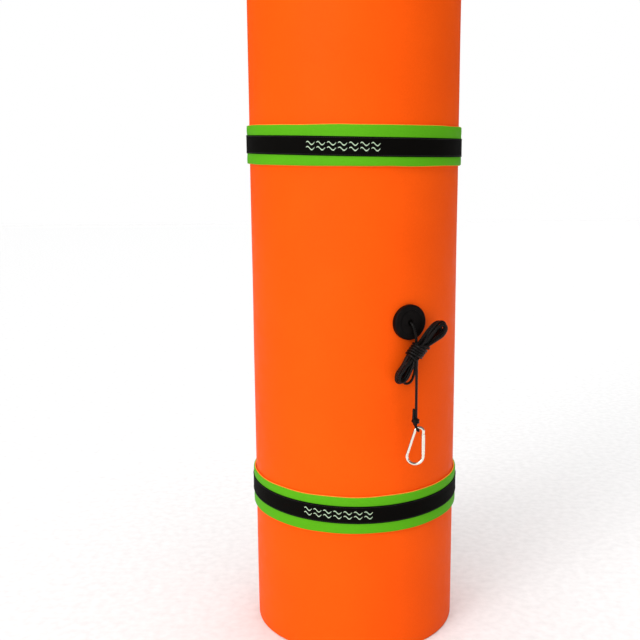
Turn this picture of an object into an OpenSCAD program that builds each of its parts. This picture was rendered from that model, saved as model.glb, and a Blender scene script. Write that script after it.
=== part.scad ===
// Floating foam mat, rolled up and standing on one end.
// Two foam straps hold the roll, and an elastic tether with a snap hook is
// plugged into the hole at the middle of the mat's outer edge.
// The roll stands along +Z, its base is at z = 0, and +X runs to the right
// of someone who stands in front of it, looking along +Y.

/* [Mat] */
// Width of the mat, which is the height of the roll
mat_width = 1830; // [1700:10:1900]
// Length of the mat when it is rolled out
mat_length = 5486; // [5400:1:5600]
// Thickness of the foam, both plies together
mat_thick = 38; // [34:1:38]
// Air left between one turn and the next
turn_gap = 3; // [3:0.5:4]
// Outer radius of the outermost half turn
roll_radius = 288; // [284:1:292]
// Bearing of the mat's free edge, counter-clockwise from +X
edge_bearing = 40; // [30:1:50]
// Number of whole half turns, before the short one at the core
half_turns = 9; // [9:1:9]

/* [Straps] */
// Width of a strap along the roll
strap_width = 100; // [80:1:110]
// Thickness of each of a strap's two foam plies
strap_ply = 3; // [2:0.5:4]
// Width of the webbing sewn along a strap
webbing_width = 48; // [38:1:52]
// Thickness of the webbing
webbing_thick = 1.6; // [1:0.1:2]
// Thickness of one half of the hook-and-loop closure
closure_thick = 1.5; // [1:0.1:2]
// Width of the closure patches
closure_width = 80; // [50:1:80]
// Height of the upper strap's middle
upper_strap_z = 1357; // [1300:1:1400]
// Height of the lower strap's middle
lower_strap_z = 400; // [380:1:420]
// Bearing at which the strap's loose end starts
overlap_bearing = 118; // [112:1:124]
// Angle that the loose end covers
overlap_angle = 33; // [27:3:36]
// Angle over which the strap climbs onto its own end
ramp_angle = 20; // [16:1:24]
// Length of the bare webbing tab at the very end
pull_length = 35; // [25:1:45]

/* [Tether] */
// Bearing of the tether hole
puck_bearing = 297.5; // [290:0.5:305]
// Height of the tether hole, near the middle of the mat's width
tether_z = 911; // [890:1:940]
// Radius of the anchor puck
puck_radius = 46; // [42:1:48]
// Thickness of the anchor puck
puck_thick = 12; // [10:1:14]
// Radius of the puck's stem, which plugs into the mat
stem_radius = 15; // [12:0.5:18]
// Diameter of the elastic cord
cord_diameter = 7; // [5:0.5:8]
// Reach of the hank's upper loops from the middle of its waist
upper_reach = 106; // [90:1:110]
// Reach of the hank's lower loops from the middle of its waist
lower_reach = 95; // [85:1:98]
// Width of the hank across its loops
loop_width = 46; // [42:1:48]
// Thickness of the hank at its loops
loop_thick = 28; // [24:1:28]
// Radius of the hank's wrapped waist
waist_radius = 22; // [18:0.5:24]
// Length of the wrapped waist
waist_length = 38; // [26:1:44]

/* [Snap hook] */
// Diameter of the hook's wire
wire_diameter = 8; // [7.5:0.1:8.5]
// Diameter of the gate
gate_diameter = 9.5; // [9:0.1:10]
// Radius of the wire's line round the small end
small_bend = 11; // [10.5:0.5:12]
// Radius of the wire's line round the wide end
wide_bend = 21; // [20:0.5:22]
// Distance between the two bend centres, along the hook
bend_distance = 66; // [62:1:70]
// Diameter of the gate's pivot pin
pin_diameter = 3; // [2.5:0.1:3]
// Thickness of the flat tongue that the gate turns on
tongue_thick = 3.4; // [3:0.1:3.6]

/* [Hidden] */

orange = [0.98, 0.40, 0.09];
green = [0.36, 0.76, 0.16];
black = [0.05, 0.05, 0.05];
steel = [0.80, 0.80, 0.78];

pitch = mat_thick + turn_gap;
half_ply = mat_thick / 2;
// The roll's nominal axis, set so that the object's box is centred on the origin
axis = [-pitch / 4, pitch / 4];
arc_fn = 180;
// Step in bearing between the points of a strap's outline, counted from its end
strap_step = 3;
slack = 0.45;
hole_slack = 0.3;

function unit(a) = [cos(a), sin(a)];

// ---- The rolled mat: half turns about two centres, each pitch / 2 smaller ----

function turn_radius(k) = roll_radius - k * pitch / 2;
function turn_centre(k) = axis + (k % 2 == 0 ? 1 : -1) * pitch / 4 * unit(edge_bearing);
function whole_turns_length(k = 0) =
    k == half_turns ? 0 : PI * (turn_radius(k) - half_ply) + whole_turns_length(k + 1);
core_angle = max(10, min(180,
    (mat_length - whole_turns_length()) / (turn_radius(half_turns) - half_ply) * 180 / PI));

// X points along the bearing of the free edge, where the half turns meet
module half_turn(k, depth_out, depth_in, sector) {
    side = k % 2 == 0 ? 1 : -1;
    translate([side * pitch / 4, 0])
        intersection() {
            difference() {
                circle(r = turn_radius(k) - depth_out, $fn = arc_fn);
                circle(r = turn_radius(k) - depth_in, $fn = arc_fn);
            }
            polygon(reach * sector);
        }
}

reach = 2 * roll_radius;
below = [[-1, 0], [1, 0], [1, -1], [-1, -1]];
above = [[-1, 0], [1, 0], [1, 1], [-1, 1]];
core_sector = [[0, 0], [-1, 0], [-1, 1], unit(180 - core_angle)];

module rolled_ply(depth_out, depth_in) {
    difference() {
        translate(axis) rotate(edge_bearing) linear_extrude(mat_width) {
            for (k = [0:half_turns - 1])
                half_turn(k, depth_out, depth_in, k % 2 == 0 ? below : above);
            half_turn(half_turns, depth_out, depth_in, core_sector);
        }
        tether_hole();
    }
}

module mat_outer_ply() { color(orange) rolled_ply(0, half_ply); }
module mat_inner_ply() { color(green) rolled_ply(half_ply, mat_thick); }

// A frame on the roll's surface: X round the roll, Y up, Z straight out
module on_roll(bearing, z) {
    centre = turn_centre(0);
    translate([centre[0], centre[1], z])
        rotate([90, 0, bearing + 90])
            translate([0, 0, roll_radius])
                children();
}

module tether_hole() {
    on_roll(puck_bearing, tether_z)
        translate([0, 0, -mat_thick - turn_gap / 2])
            cylinder(r = stem_radius + hole_slack, h = mat_thick + turn_gap + 4, $fn = 96);
}

// ---- Straps: closed loops drawn tight round the roll's outline ----

// The outline is one arc about each centre, the corner of the free edge, and
// the straight bridge from that corner down to the turn below
bridge_angle = acos(turn_radius(1) / (roll_radius + pitch / 2));
bridge_bearing = edge_bearing + bridge_angle;
edge_corner = turn_centre(0) + roll_radius * unit(edge_bearing);

function past_bridge(a) = (a - bridge_bearing + 720) % 360;
function wrap_point(a, off) =
    past_bridge(a) < 180 - bridge_angle ? turn_centre(1) + (turn_radius(1) + off) * unit(a)
    : past_bridge(a) < 360 - bridge_angle ? turn_centre(0) + (roll_radius + off) * unit(a)
    : edge_corner + off * unit(a);

// Layers over the roll, from its surface outwards
foam_thick = 2 * strap_ply;
lift_full = foam_thick + 2 * closure_thick + slack;
tab_start = overlap_bearing + 360;
tab_end = tab_start + overlap_angle;
ramp_start = tab_start - ramp_angle;

function smooth(t) = t * t * (3 - 2 * t);
function lift(a) = lift_full * smooth(max(0, min(1, (a - ramp_start) / ramp_angle)));
function band_line(bearings, off) = [for (a = bearings) wrap_point(a, slack + off + lift(a))];
function reversed(list) = [for (i = [len(list) - 1:-1:0]) list[i]];

// A step of the outline, so that the layers' facets lie flat on each other
function step_at(i) = overlap_bearing + strap_step * i;
function next_step(a) = floor((a - overlap_bearing) / strap_step) + 1;

// A band of foam or webbing between two offsets, over a stretch of bearings
module band(from, to, off_in, off_out, width, z) {
    bearings = [from, for (i = next_step(from); step_at(i) < to - 0.01; i = i + 1) step_at(i), to];
    outline = concat(band_line(bearings, off_in), reversed(band_line(bearings, off_out)));
    translate([0, 0, z - width / 2])
        linear_extrude(width)
            polygon(outline);
}

// The split between the strap and its loose end, as a bearing
split = 0.04;

module strap_outer_ply(z) {
    color(green) band(overlap_bearing, tab_start - split, strap_ply, foam_thick, strap_width, z);
}
module strap_inner_ply(z) {
    color(orange) band(overlap_bearing, tab_start - split, 0, strap_ply, strap_width, z);
}
module strap_webbing(z) {
    color(black) band(overlap_bearing + overlap_angle, tab_start - split,
        foam_thick, foam_thick + webbing_thick, webbing_width, z);
}
module strap_loop_patch(z) {
    color(black) band(overlap_bearing + strap_step, overlap_bearing + overlap_angle - strap_step,
        foam_thick, foam_thick + closure_thick, closure_width, z);
}
module tab_outer_ply(z) {
    color(green) band(tab_start + split, tab_end, strap_ply, foam_thick, strap_width, z);
}
module tab_inner_ply(z) {
    color(orange) band(tab_start + split, tab_end, 0, strap_ply, strap_width, z);
}
module tab_webbing(z) {
    pull_angle = pull_length / roll_radius * 180 / PI;
    color(black) band(tab_start + split, tab_end + pull_angle,
        foam_thick, foam_thick + webbing_thick, webbing_width, z);
}
module tab_hook_patch(z) {
    color(black) band(tab_start + strap_step, tab_end - strap_step, -closure_thick, 0, closure_width, z);
}

// ---- Tether: puck, elastic cord, hank and knots ----

module on_puck() { on_roll(puck_bearing, tether_z) children(); }

cord_radius = cord_diameter / 2;
cord_bore = cord_radius + 0.4;
knot_pocket_radius = 10.5;
knot_pocket_depth = 20;
stem_length = mat_thick - 1;
rim_round = 4;
rim_depth = 5;
ring_radius = 31;
ring_depth = 1.2;
face_gap = 0.3;

module anchor_puck() {
    color(black) on_puck() difference() {
        union() {
            translate([0, 0, face_gap]) {
                translate([0, 0, -rim_depth])
                    cylinder(r = puck_radius, h = rim_depth + puck_thick - rim_round, $fn = 128);
                cylinder(r = puck_radius - rim_round, h = puck_thick, $fn = 128);
                translate([0, 0, puck_thick - rim_round])
                    rotate_extrude($fn = 128)
                        translate([puck_radius - rim_round, 0]) circle(r = rim_round, $fn = 32);
            }
        }
        // the underside follows the roll
        translate([0, 0, -roll_radius]) rotate([90, 0, 0])
            cylinder(r = roll_radius + face_gap, h = 3 * puck_radius, center = true, $fn = 360);
        translate([0, 0, face_gap + puck_thick - ring_depth])
            difference() {
                cylinder(r = ring_radius + 2, h = puck_thick, $fn = 96);
                translate([0, 0, -1]) cylinder(r = ring_radius - 2, h = puck_thick + 2, $fn = 96);
            }
        cord_passage();
    }
    color(black) on_puck() difference() {
        translate([0, 0, -stem_length]) cylinder(r = stem_radius, h = stem_length + 2, $fn = 96);
        cord_passage();
    }
}

// Bore, knot pocket at the back and dished mouth at the front
module cord_passage() {
    translate([0, 0, -stem_length - 1])
        cylinder(r = cord_bore, h = stem_length + puck_thick + 5, $fn = 48);
    translate([0, 0, -stem_length - 1])
        cylinder(r = knot_pocket_radius, h = knot_pocket_depth + 1, $fn = 64);
    translate([0, 0, face_gap + puck_thick - 5])
        cylinder(r1 = cord_bore, r2 = cord_bore + 7, h = 6, $fn = 64);
}

knot_centre_z = -stem_length + knot_pocket_depth - 9;

module stop_knot() {
    color(black) on_puck() union() {
        translate([0, 0, knot_centre_z]) sphere(r = 8.5, $fn = 48);
        translate([0, 0, knot_centre_z - 5]) sphere(r = 7, $fn = 48);
    }
}

// The hank's waist lies below the puck; its long axis is local Y, which leans
// to the right, and the loops at either end droop away from that line
hank_at = [8, -72, 27];
waist_lean = 41;
hank_tilt = 4;
upper_droop = -10;
lower_droop = 13;
waist_slant = 0.32;
neck = 15;

module on_hank() {
    on_puck() translate(hank_at) rotate([0, 0, -waist_lean]) rotate([hank_tilt, 0, 0]) children();
}

// Loops at one end of the hank: from the waist out to a round tip
module hank_loops(reach) {
    tip = reach - loop_width / 2;
    translate([0, 0, -loop_thick / 2])
        linear_extrude(loop_thick) union() {
            translate([0, tip]) circle(d = loop_width, $fn = 64);
            polygon([[-neck, 0], [neck, 0], [loop_width / 2, tip], [-loop_width / 2, tip]]);
        }
}

module hank_waist() {
    h = waist_length / 2;
    r = waist_radius;
    s = waist_slant * r;
    translate([0, 0, -r])
        linear_extrude(2 * r)
            polygon([[-r, -h - s], [r, -h + s], [r, h + s], [-r, h - s]]);
}

module tether_hank() {
    color(black) on_hank() union() {
        rotate([0, 0, upper_droop]) rotate([-hank_tilt, 0, 0]) hank_loops(upper_reach);
        rotate([0, 0, lower_droop]) mirror([0, 1, 0]) hank_loops(lower_reach);
        hank_waist();
    }
}

// Free stretches of the cord, as points in the puck's frame
lead_route = [
    [0, 0, -20], [0, 0, -6], [0, 0, 6], [1, -3, 14], [3, -9.5, 18.2], [6, -20, 19.6],
    [8.5, -32, 20], [11, -44, 20.5], [14, -56, 21.5]
];
line_route = [
    [-6.5, -81.5, 42.5], [-3.5, -86, 43], [-2, -93, 43], [-2, -105, 43], [-2, -120, 43],
    [-2, -136, 43], [-2, -152, 43], [-2, -168, 43], [-2, -184, 43], [-2, -200, 43],
    [-2, -216, 43], [-2, -232, 43], [-2, -248, 43]
];

tube_sides = 8;
function along(route, i) =
    let (a = route[max(0, i - 1)], b = route[min(len(route) - 1, i + 1)]) (b - a) / norm(b - a);
// The part of v that is square to d, at length 1
function square_to(v, d) = let (w = v - d * (v * d)) w / norm(w);
function first_side(d) = square_to(abs(d[0]) < 0.9 ? [1, 0, 0] : [0, 1, 0], d);
// One side direction for each point, carried along so that the tube doesn't twist
function carried_sides(route) = [
    for (i = 0, s = first_side(along(route, 0)); i < len(route);
        i = i + 1, s = i < len(route) ? square_to(s, along(route, i)) : s) s
];
function ring(centre, d, s, r) = [
    for (j = [0:tube_sides - 1]) let (a = 360 * j / tube_sides)
        centre + r * (cos(a) * s + sin(a) * cross(d, s))
];

module tube(route, r) {
    rings = len(route);
    sides = carried_sides(route);
    points = [for (i = [0:rings - 1]) each ring(route[i], along(route, i), sides[i], r)];
    walls = [for (i = [0:rings - 2], j = [0:tube_sides - 1])
        let (k = (j + 1) % tube_sides, a = i * tube_sides, b = a + tube_sides)
        each [[a + j, b + j, b + k], [a + j, b + k, a + k]]];
    caps = [[for (j = [0:tube_sides - 1]) j],
        [for (j = [tube_sides - 1:-1:0]) (rings - 1) * tube_sides + j]];
    polyhedron(points, concat(walls, caps), convexity = 4);
}

module tether_lead() { color(black) on_puck() tube(lead_route, cord_radius); }
module tether_line() { color(black) on_puck() tube(line_route, cord_radius); }

// ---- Knot and snap hook: they hang on the line, and the hook faces forwards ----

knot_at = [-2, -256, 43];

module on_knot() { on_puck() translate(knot_at) rotate([0, 270 - puck_bearing, 0]) children(); }

// Local origin of the hook: the wire's line, at the middle of the small end
hook_at = [8, -14.5, 0];
wire_radius = wire_diameter / 2;
gate_radius = gate_diameter / 2;
small_centre = [0, -small_bend];
wide_centre = [small_bend - wide_bend, -small_bend - bend_distance];
// Direction of the tangent's normal on the slanted side
centre_line = small_centre - wide_centre;
slant = atan2(centre_line[1], centre_line[0]) + acos((wide_bend - small_bend) / norm(centre_line));
pivot = [small_bend, -small_bend - 10.5];
shoulder_y = pivot[1] + gate_radius + slack;
gate_foot_y = wide_centre[1] + 4.5;
nose_height = 8;
// How far a straight runs into the bend that it meets, and how much thinner it is
joint_overlap = 0.4;
joint_step = 0.04;

module on_hook() { on_knot() translate(hook_at) children(); }

// The eye hangs on the small bend, left of its middle, above the hook's weight
eye_angle = 122;
eye_line_radius = wire_radius + cord_radius + 1;
knot_radius = 10.9;
knot_offset = -1.8;
tail_length = 26;

// The knot that ties the cord to the hook, with the eye that goes round the wire
module eye_knot() {
    color(black) on_knot() union() {
        translate([knot_offset, 0, 0]) sphere(r = knot_radius, $fn = 48);
        translate(hook_at + [small_centre[0], small_centre[1], 0])
            rotate(eye_angle)
                translate([small_bend, 0, 0])
                    rotate([90, 0, 0])
                        rotate_extrude($fn = 64)
                            translate([eye_line_radius, 0]) circle(r = cord_radius, $fn = 32);
        // the cut tail, beside the line
        translate([-cord_diameter - 0.4, 0, 0]) rotate([-90, 0, 0])
            cylinder(r = cord_radius, h = knot_radius + tail_length, $fn = 32);
    }
}

module wire_arc(centre, r, from, to) {
    translate([centre[0], centre[1], 0])
        rotate(from)
            rotate_extrude(angle = to - from, $fn = 96)
                translate([r, 0]) circle(r = wire_radius, $fn = 48);
}

module bar(a, b, r) {
    d = b - a;
    translate([a[0], a[1], 0])
        rotate(atan2(d[1], d[0]))
            rotate([0, 90, 0])
                cylinder(r = r, h = norm(d), $fn = 48);
}

// Flat tongue with a round end at the pivot
module tongue() {
    half = 3.2;
    translate([pivot[0] - half, pivot[1], -tongue_thick / 2])
        cube([2 * half, shoulder_y - pivot[1] + 1, tongue_thick]);
    translate([pivot[0], pivot[1], -tongue_thick / 2]) cylinder(r = half, h = tongue_thick, $fn = 48);
}

// Nose: a flat neck with a wider head, which the gate closes over
module nose() {
    translate([pivot[0] - 1.5, gate_foot_y - 2, -1.5]) cube([4, nose_height + 1, 3]);
    translate([pivot[0] - 1.5, gate_foot_y + nose_height - 3, -2.6]) cube([4, 2, 5.2]);
}

module hook_body() {
    across = unit(slant);
    up = [across[1], -across[0]];
    thin = wire_radius - joint_step;
    color(steel) on_hook() difference() {
        union() {
            wire_arc(small_centre, small_bend, 0, slant);
            wire_arc(wide_centre, wide_bend, slant, 360);
            bar(wide_centre + wide_bend * across - joint_overlap * up,
                small_centre + small_bend * across + joint_overlap * up, thin);
            bar([pivot[0], small_centre[1] + joint_overlap], [pivot[0], shoulder_y], thin);
            bar([pivot[0], wide_centre[1] - joint_overlap], [pivot[0], gate_foot_y - slack], thin);
            tongue();
            nose();
        }
        translate([pivot[0], pivot[1], -10]) cylinder(r = pin_diameter / 2 + 0.05, h = 20, $fn = 48);
    }
}

spring_bore = 2.6;
spring_top_y = pivot[1] - 13;
spring_foot_y = pivot[1] - 31;

module hook_gate() {
    color(steel) on_hook() difference() {
        union() {
            bar([pivot[0], gate_foot_y], pivot, gate_radius);
            // the fork's end is round about the pivot, so that it turns clear of the shoulder
            intersection() {
                bar(pivot, [pivot[0], pivot[1] + gate_diameter], gate_radius);
                translate([pivot[0], pivot[1], -gate_diameter])
                    cylinder(r = gate_radius, h = 2 * gate_diameter, $fn = 64);
            }
        }
        // fork slot
        translate([pivot[0] - 6, pivot[1] - 5, -tongue_thick / 2 - 0.2])
            cube([12, 12, tongue_thick + 0.4]);
        // slot for the nose, open on the outside so that the gate can swing in
        translate([pivot[0] - 1.9, gate_foot_y - 1, -1.8]) cube([12, nose_height + 1, 3.6]);
        translate([pivot[0] - 1.9, gate_foot_y + nose_height - 3.6, -2.9]) cube([12, 3.4, 5.8]);
        // bore for the plunger and its spring
        translate([pivot[0], pivot[1] - 4, 0]) rotate([90, 0, 0])
            cylinder(r = spring_bore, h = 27.5, $fn = 48);
        translate([pivot[0], pivot[1], -10]) cylinder(r = pin_diameter / 2, h = 20, $fn = 48);
    }
}

module gate_pin() {
    pin_length = gate_diameter + 0.8;
    color(steel) on_hook() translate([pivot[0], pivot[1], -pin_length / 2])
        cylinder(r = pin_diameter / 2, h = pin_length, $fn = 48);
}

module gate_plunger() {
    color(steel) on_hook() translate([pivot[0], spring_top_y, 0]) rotate([-90, 0, 0]) union() {
        cylinder(r = spring_bore - 0.15, h = 8, $fn = 48);
        translate([0, 0, 8]) cylinder(r1 = spring_bore - 0.15, r2 = 1.2, h = 1.4, $fn = 48);
    }
}

spring_turns = 7;
spring_wire = 0.4;
spring_points = 10;

module gate_spring() {
    coil = spring_bore - spring_wire - 0.15;
    height = spring_top_y - spring_foot_y - 2 * spring_wire - 0.2;
    count = spring_turns * spring_points;
    route = [for (i = [0:count]) [
        pivot[0] + coil * cos(360 * i / spring_points),
        spring_foot_y + spring_wire + 0.1 + height * i / count,
        coil * sin(360 * i / spring_points)
    ]];
    color(steel) on_hook() tube(route, spring_wire);
}

mat_outer_ply();
mat_inner_ply();
strap_outer_ply(upper_strap_z);  // upper_strap_outer_ply
strap_inner_ply(upper_strap_z);  // upper_strap_inner_ply
strap_webbing(upper_strap_z);  // upper_strap_webbing
strap_loop_patch(upper_strap_z);  // upper_strap_loop_patch
tab_outer_ply(upper_strap_z);  // upper_tab_outer_ply
tab_inner_ply(upper_strap_z);  // upper_tab_inner_ply
tab_webbing(upper_strap_z);  // upper_tab_webbing
tab_hook_patch(upper_strap_z);  // upper_tab_hook_patch
strap_outer_ply(lower_strap_z);  // lower_strap_outer_ply
strap_inner_ply(lower_strap_z);  // lower_strap_inner_ply
strap_webbing(lower_strap_z);  // lower_strap_webbing
strap_loop_patch(lower_strap_z);  // lower_strap_loop_patch
tab_outer_ply(lower_strap_z);  // lower_tab_outer_ply
tab_inner_ply(lower_strap_z);  // lower_tab_inner_ply
tab_webbing(lower_strap_z);  // lower_tab_webbing
tab_hook_patch(lower_strap_z);  // lower_tab_hook_patch
anchor_puck();
stop_knot();
tether_lead();
tether_hank();
tether_line();
eye_knot();
hook_body();
hook_gate();
gate_pin();
gate_plunger();
gate_spring();
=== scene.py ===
"""Looks for a rolled floating foam mat with two straps and a tether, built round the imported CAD."""

import math

import bpy
import numpy as np
from mathutils import Matrix, Vector, noise


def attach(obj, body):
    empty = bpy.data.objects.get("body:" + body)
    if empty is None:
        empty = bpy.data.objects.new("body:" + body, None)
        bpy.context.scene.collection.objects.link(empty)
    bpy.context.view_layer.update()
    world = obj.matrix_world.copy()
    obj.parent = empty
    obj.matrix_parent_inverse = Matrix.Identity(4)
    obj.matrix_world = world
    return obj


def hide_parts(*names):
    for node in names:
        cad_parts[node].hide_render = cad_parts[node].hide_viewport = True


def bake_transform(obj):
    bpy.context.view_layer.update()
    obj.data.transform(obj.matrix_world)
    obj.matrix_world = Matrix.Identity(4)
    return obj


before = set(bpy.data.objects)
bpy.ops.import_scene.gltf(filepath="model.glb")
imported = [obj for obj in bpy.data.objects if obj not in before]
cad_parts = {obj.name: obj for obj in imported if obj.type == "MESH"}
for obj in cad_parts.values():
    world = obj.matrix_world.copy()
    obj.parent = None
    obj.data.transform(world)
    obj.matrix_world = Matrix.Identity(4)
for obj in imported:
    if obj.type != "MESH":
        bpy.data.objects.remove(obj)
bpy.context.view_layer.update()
MM = 0.001

# ---- The CAD's own values, in millimetres and degrees ----

MAT_WIDTH, MAT_THICK, TURN_GAP = 1830, 38, 3
PITCH, HALF_PLY = MAT_THICK + TURN_GAP, MAT_THICK / 2
ROLL_RADIUS, EDGE_BEARING = 288, 40
HALF_TURNS, CORE_ANGLE = 9, 134.7
PUCK_BEARING, TETHER_Z = 297.5, 911
STEM_HOLE = 15.3
STRAP_PLY, STRAP_WIDTH, SLACK = 3, 100, 0.45
WEBBING_WIDTH, WEBBING_THICK = 48, 1.6
CLOSURE_THICK, CLOSURE_WIDTH = 1.5, 80
STRAP_Z = {"upper": 1357, "lower": 400}
OVERLAP_BEARING, OVERLAP_ANGLE, RAMP_ANGLE = 118, 33, 20
STRAP_STEP = 3
PULL_ANGLE = math.degrees(35 / ROLL_RADIUS)
CORD_D = 7


def unit(bearing):
    """The unit vector that points along a bearing in degrees."""
    return np.array([math.cos(math.radians(bearing)), math.sin(math.radians(bearing))])


AXIS = np.array([-PITCH / 4, PITCH / 4])


def turn_radius(k):
    """Outer radius of the spiral's half turn k, counted inwards from the free edge."""
    return ROLL_RADIUS - k * PITCH / 2


def turn_centre(k):
    """Centre of half turn k. Two centres take turns, which makes the spiral."""
    return AXIS + (1 if k % 2 == 0 else -1) * PITCH / 4 * unit(EDGE_BEARING)


def shift(x, y, z):
    """A matrix that moves by x, y, z."""
    m = np.eye(4)
    m[:3, 3] = x, y, z
    return m


def turned(axis, degrees):
    """A matrix that turns about an axis."""
    return np.array(Matrix.Rotation(math.radians(degrees), 4, axis), float)


# Frames of the puck, of the hank in the puck's frame, and of the knot
PUCK = (
    shift(*turn_centre(0), TETHER_Z)
    @ turned("Z", PUCK_BEARING + 90)
    @ turned("X", 90)
    @ shift(0, 0, ROLL_RADIUS)
)
HANK_IN_PUCK = shift(8, -72, 27) @ turned("Z", -41) @ turned("X", 4)
KNOT = PUCK @ shift(-2, -256, 43) @ turned("Y", 270 - PUCK_BEARING)
HOOK_AT = np.array([8.0, -14.5, 0.0])


def placed(points, m):
    """Points in a CAD frame, moved by m, as an array."""
    p = np.asarray(points, float)
    return p @ m[:3, :3].T + m[:3, 3]


# ---- Camera ----

CAMERA_AT = Vector((-0.0970, -2.6226, 1.3625))
CAMERA_PITCH, CAMERA_ROLL = -0.1844, -0.0081
camera = bpy.data.objects.new("camera", bpy.data.cameras.new("camera"))
bpy.context.scene.collection.objects.link(camera)
camera.data.sensor_width = 36
camera.data.lens = 53.0775
camera.data.clip_end = 60
look = Vector((0, math.cos(CAMERA_PITCH), math.sin(CAMERA_PITCH)))
right = Vector((1, 0, 0))
up = right.cross(look)
cosine, sine = math.cos(CAMERA_ROLL), math.sin(CAMERA_ROLL)
x_axis, y_axis = cosine * right + sine * up, cosine * up - sine * right
camera.matrix_world = Matrix.Translation(CAMERA_AT) @ Matrix((x_axis, y_axis, -look)).transposed().to_4x4()
bpy.context.scene.camera = camera


# ---- Mesh helpers ----


def mesh_piece(name, verts, faces, material, marks=None, angle=40):
    """A mesh object from arrays in metres. marks gives vector attributes by name."""
    mesh = bpy.data.meshes.new(name)
    mesh.from_pydata([tuple(v) for v in verts], [], [tuple(int(i) for i in f) for f in faces])
    for key, values in (marks or {}).items():
        attribute = mesh.attributes.new(key, "FLOAT_VECTOR", "POINT")
        attribute.data.foreach_set("vector", np.asarray(values, np.float32).ravel())
    mesh.materials.append(material)
    mesh.validate()
    mesh.shade_smooth()
    mesh.set_sharp_from_angle(angle=math.radians(angle))
    obj = bpy.data.objects.new(name, mesh)
    bpy.context.scene.collection.objects.link(obj)
    return obj


def loft(rings, flip=False):
    """Vertices and faces of a closed body: rings (n, m, 3) joined one to the next, ends capped."""
    n, m = rings.shape[:2]
    i, j = np.meshgrid(np.arange(n - 1), np.arange(m), indexing="ij")
    k = (j + 1) % m
    quads = np.stack([i * m + j, i * m + k, (i + 1) * m + k, (i + 1) * m + j], -1).reshape(-1, 4)
    faces = [tuple(q) for q in quads] + [tuple(range(m - 1, -1, -1)), tuple(range((n - 1) * m, n * m))]
    if flip:
        faces = [f[::-1] for f in faces]
    return rings.reshape(-1, 3), faces


def arc_lengths(line):
    """How far along the line each of its points is."""
    return np.concatenate([[0], np.cumsum(np.linalg.norm(np.diff(line, axis=0), axis=1))])


def resampled(line, step):
    """The line with its points about step apart."""
    along = arc_lengths(line)
    count = max(2, int(round(along[-1] / step)) + 1)
    at = np.linspace(0, along[-1], count)
    return np.stack([np.interp(at, along, line[:, d]) for d in range(line.shape[1])], 1)


def mixed(u, low, high, start, end):
    """What goes from start at low to end at high, at u."""
    return (high - u) / (high - low) * start + (u - low) / (high - low) * end


def spline(points, step):
    """A smooth line through the points (centripetal Catmull-Rom), sampled every step."""
    p = np.asarray(points, float)
    p = np.vstack([2 * p[0] - p[1], p, 2 * p[-1] - p[-2]])
    out = []
    for a, b, c, d in zip(p[:-3], p[1:-2], p[2:-1], p[3:]):
        gaps = [max(np.linalg.norm(y - x), 1e-6) ** 0.5 for x, y in ((a, b), (b, c), (c, d))]
        t = np.cumsum([0, *gaps])
        u = np.linspace(t[1], t[2], 14)[:, None]
        ab, bc, cd = mixed(u, t[0], t[1], a, b), mixed(u, t[1], t[2], b, c), mixed(u, t[2], t[3], c, d)
        abc, bcd = mixed(u, t[0], t[2], ab, bc), mixed(u, t[1], t[3], bc, cd)
        out.append(mixed(u, t[1], t[2], abc, bcd)[:-1])
    return resampled(np.vstack([*out, p[-2:-1]]), step)


def tangents(line):
    """The line's unit direction at each of its points."""
    ways = np.gradient(line, axis=0)
    return ways / np.linalg.norm(ways, axis=1)[:, None]


TUBE_SIDES = 12


def tube(name, line, radius, material):
    """A round tube along a line in metres. radius is one number or one for each point."""
    ways = tangents(line)
    side = np.cross(ways[0], [0, 0, 1] if abs(ways[0][2]) < 0.9 else [1, 0, 0])
    radii = np.broadcast_to(radius, len(line))
    angles = np.linspace(0, 2 * math.pi, TUBE_SIDES, endpoint=False)
    cosines, sines = np.cos(angles), np.sin(angles)
    rings, marks = [], []
    for point, way, r, distance in zip(line, ways, radii, arc_lengths(line)):
        side = side - way * (side @ way)
        side = side / np.linalg.norm(side)
        other = np.cross(way, side)
        rings.append(point + r * (cosines[:, None] * side + sines[:, None] * other))
        marks.append(np.column_stack([np.full(TUBE_SIDES, distance), cosines, sines]))
    verts, faces = loft(np.array(rings))
    return mesh_piece(name, verts, faces, material, {"strand": np.concatenate(marks)}, angle=60)


# ---- Materials ----


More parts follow.
